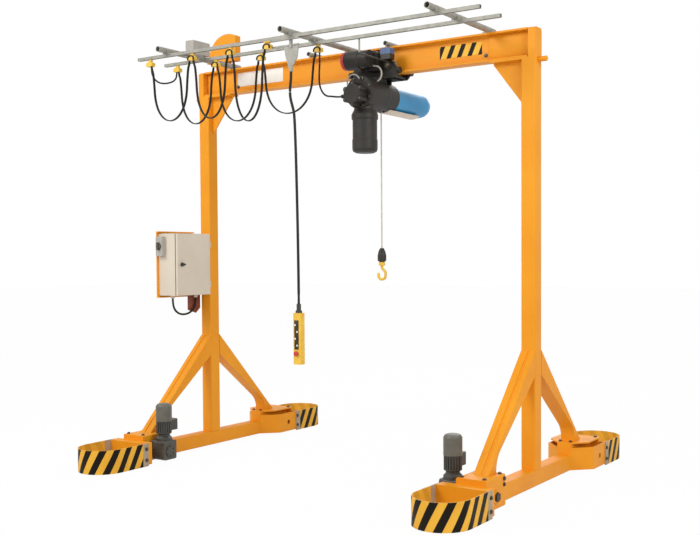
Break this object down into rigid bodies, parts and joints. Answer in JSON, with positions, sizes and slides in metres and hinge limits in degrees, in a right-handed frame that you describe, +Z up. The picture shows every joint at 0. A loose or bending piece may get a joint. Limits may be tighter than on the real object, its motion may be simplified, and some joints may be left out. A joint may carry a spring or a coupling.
{
  "type": "gantry crane",
  "caption": "Motor-driven portal gantry crane: I-beam girder on braced columns and wheeled end beams, with a rope hoist and hook, cable rails, pendant control and switch cabinet.",
  "frame": {"origin": "floor level, midway between the columns and between the front and rear guards", "axes": "+X along the girder towards the column without the cabinet, +Y towards the rear feet, +Z up"},
  "size_m": [3.16, 2.6, 3.25],
  "materials": {
    "orange_paint": "semi-gloss enamel",
    "guard_paint": "semi-gloss enamel with hazard stripes",
    "galvanised_steel": "dull zinc",
    "wheel_iron": "machined tread",
    "drive_grey": "satin",
    "cabinet_cream": "satin powder coat",
    "hoist_black": "satin",
    "hoist_blue": "semi-gloss enamel",
    "brake_red": "satin",
    "rope_steel": "greased wire",
    "safety_yellow": "satin",
    "yellow_plastic": "moulded",
    "button_black": "moulded",
    "cable_rubber": "matte",
    "box_grey": "moulded"
  },
  "bodies": {
    "base": {"girder": "orange_paint", "right_column": "orange_paint", "left_column": "orange_paint", "right_end_beam": "orange_paint", "left_end_beam": "orange_paint", "right_braces": "orange_paint", "left_braces": "orange_paint", "front_carriages": "orange_paint", "rear_carriages": "orange_paint", "travel_wheels": "wheel_iron", "front_guards": "guard_paint", "rear_guards": "guard_paint", "drive_gearboxes": "drive_grey", "drive_motors": "drive_grey", "cabinet": "cabinet_cream", "cabinet_back_plate": "cabinet_cream", "main_switch_box": "box_grey", "outer_cable_rail": "galvanised_steel", "inner_cable_rail": "galvanised_steel", "cable_rail_arms": "galvanised_steel", "lifting_tubes": "galvanised_steel", "supply_hood": "orange_paint", "junction_box": "box_grey", "cable_end_clamps": "yellow_plastic", "outer_cable_loops": "cable_rubber", "inner_cable_loops": "cable_rubber", "link_cable": "cable_rubber", "cabinet_cable": "cable_rubber"},
    "hoist": {"hoist_trolley": "hoist_black", "trolley_wheels": "galvanised_steel", "trolley_drive": "hoist_black", "trolley_brake_cap": "brake_red", "limit_switch_box": "hoist_blue", "hoist_gear_case": "hoist_black", "hoist_brake_cover": "hoist_black", "hoist_motor": "hoist_black", "rope_drum": "hoist_blue", "rope_guide": "hoist_black", "drum_tray": "cabinet_cream", "tow_arm": "galvanised_steel", "hoist_rope": "rope_steel", "hoist_cable": "cable_rubber"},
    "hook_block": {"hook_block": "hoist_black"},
    "hook": {"hook": "safety_yellow"},
    "cabinet_door": {"cabinet_door": "cabinet_cream"},
    "main_switch": {"main_switch_handle": "button_black"},
    "pendant": {"pendant_trolley": "galvanised_steel", "pendant_control": "yellow_plastic", "pendant_buttons": "button_black", "pendant_cable": "cable_rubber"},
    "outer_cable_carrier_1": {"outer_cable_carrier_1": "yellow_plastic"},
    "outer_cable_carrier_2": {"outer_cable_carrier_2": "yellow_plastic"},
    "inner_cable_carrier_1": {"inner_cable_carrier_1": "yellow_plastic"},
    "inner_cable_carrier_2": {"inner_cable_carrier_2": "yellow_plastic"},
    "inner_cable_carrier_3": {"inner_cable_carrier_3": "yellow_plastic"}
  },
  "joints": [
    {"name": "hoist_travel", "type": "slide", "parent": "base", "child": "hoist", "axis": [1, 0, 0], "range_m": [-1.145, 0.655]},
    {"name": "hook_lift", "type": "slide", "parent": "hoist", "child": "hook_block", "axis": [0, 0, 1], "range_m": [-1.24, 0.75], "deforming": ["hoist_rope"]},
    {"name": "hook_swivel", "type": "hinge", "parent": "hook_block", "child": "hook", "pos_m": [0.245, 0, 1.45], "axis": [0, 0, 1], "continuous": true},
    {"name": "cabinet_door_hinge", "type": "hinge", "parent": "base", "child": "cabinet_door", "pos_m": [-1.343, -0.057, 1.46], "axis": [0, 0, 1], "range_deg": [0, 120]},
    {"name": "main_switch_turn", "type": "hinge", "parent": "base", "child": "main_switch", "pos_m": [-1.502, -0.463, 1.601], "axis": [0, 1, 0], "range_deg": [0, 90]},
    {"name": "pendant_travel", "type": "slide", "parent": "base", "child": "pendant", "axis": [1, 0, 0], "range_m": [-0.75, 1.25]},
    {"name": "inner_cable_carrier_1_travel", "type": "slide", "parent": "base", "child": "inner_cable_carrier_1", "axis": [1, 0, 0], "range_m": [-0.2758, 0.1582]},
    {"name": "inner_cable_carrier_2_travel", "type": "slide", "parent": "base", "child": "inner_cable_carrier_2", "axis": [1, 0, 0], "range_m": [-0.5735, 0.3285]},
    {"name": "inner_cable_carrier_3_travel", "type": "slide", "parent": "base", "child": "inner_cable_carrier_3", "axis": [1, 0, 0], "range_m": [-0.917, 0.525]},
    {"name": "outer_cable_carrier_1_travel", "type": "slide", "parent": "base", "child": "outer_cable_carrier_1", "axis": [1, 0, 0], "range_m": [-0.251, 0.4176]},
    {"name": "outer_cable_carrier_2_travel", "type": "slide", "parent": "base", "child": "outer_cable_carrier_2", "axis": [1, 0, 0], "range_m": [-0.501, 0.8344]}
  ],
  "couplings": [
    {"joint": "inner_cable_carrier_1_travel", "follows": "hoist_travel", "ratio": 0.24},
    {"joint": "inner_cable_carrier_2_travel", "follows": "hoist_travel", "ratio": 0.5},
    {"joint": "inner_cable_carrier_3_travel", "follows": "hoist_travel", "ratio": 0.8},
    {"joint": "outer_cable_carrier_1_travel", "follows": "pendant_travel", "ratio": 0.3333},
    {"joint": "outer_cable_carrier_2_travel", "follows": "pendant_travel", "ratio": 0.6667}
  ]
}
